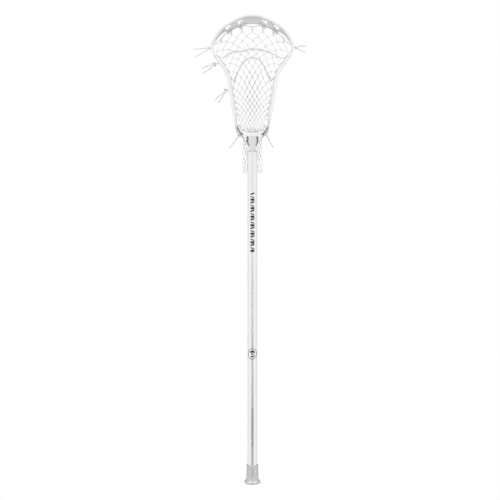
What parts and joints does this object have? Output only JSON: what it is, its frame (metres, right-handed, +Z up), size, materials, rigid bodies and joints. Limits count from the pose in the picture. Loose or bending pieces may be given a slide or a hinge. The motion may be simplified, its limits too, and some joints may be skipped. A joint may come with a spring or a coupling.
{
  "type": "lacrosse stick",
  "caption": "Strung lacrosse stick: moulded open head with a mesh pocket, cord tie-offs and a ball stop, on an eight-sided tube with a butt cap.",
  "frame": {"origin": "centre of the butt cap's flat end, on the shaft's axis", "axes": "+Z up the shaft towards the head, -Y out of the open face of the head, +X to the right seen from that face"},
  "size_m": [0.2644, 0.0948, 1.067],
  "materials": {
    "head_plastic": "moulded white nylon, satin gloss",
    "foam_pad": "closed-cell white foam",
    "screw_steel": "plain steel",
    "shaft_alloy": "white-silver satin coat on alloy",
    "cap_rubber": "pale grey matte rubber",
    "mesh_fiber": "waxed white mesh cord",
    "string_nylon": "braided white nylon cord",
    "shooter_lace": "flat-braided white lace"
  },
  "bodies": {
    "root": {"head_frame": "head_plastic", "ball_stop_pad": "foam_pad", "head_screw": "screw_steel", "shaft_tube": "shaft_alloy", "end_cap": "cap_rubber", "pocket_mesh": "mesh_fiber", "mesh_tail": "mesh_fiber", "top_string": "string_nylon", "bottom_string": "string_nylon", "sidewall_string_left": "string_nylon", "sidewall_string_right": "string_nylon", "shooting_string_upper": "shooter_lace", "shooting_string_lower": "shooter_lace", "knot_top_left": "string_nylon", "knot_top_right": "string_nylon", "knot_upper_left": "shooter_lace", "knot_lower_left": "shooter_lace", "knot_bottom_left": "string_nylon", "knot_bottom_right": "string_nylon", "string_end_top_left_a": "string_nylon", "string_end_top_left_b": "string_nylon", "string_end_top_right_a": "string_nylon", "string_end_top_right_b": "string_nylon", "string_end_upper_left_a": "shooter_lace", "string_end_upper_left_b": "shooter_lace", "string_end_lower_left_a": "shooter_lace", "string_end_lower_left_b": "shooter_lace", "string_end_bottom_left": "string_nylon", "string_end_bottom_right": "string_nylon"}
  },
  "joints": []
}
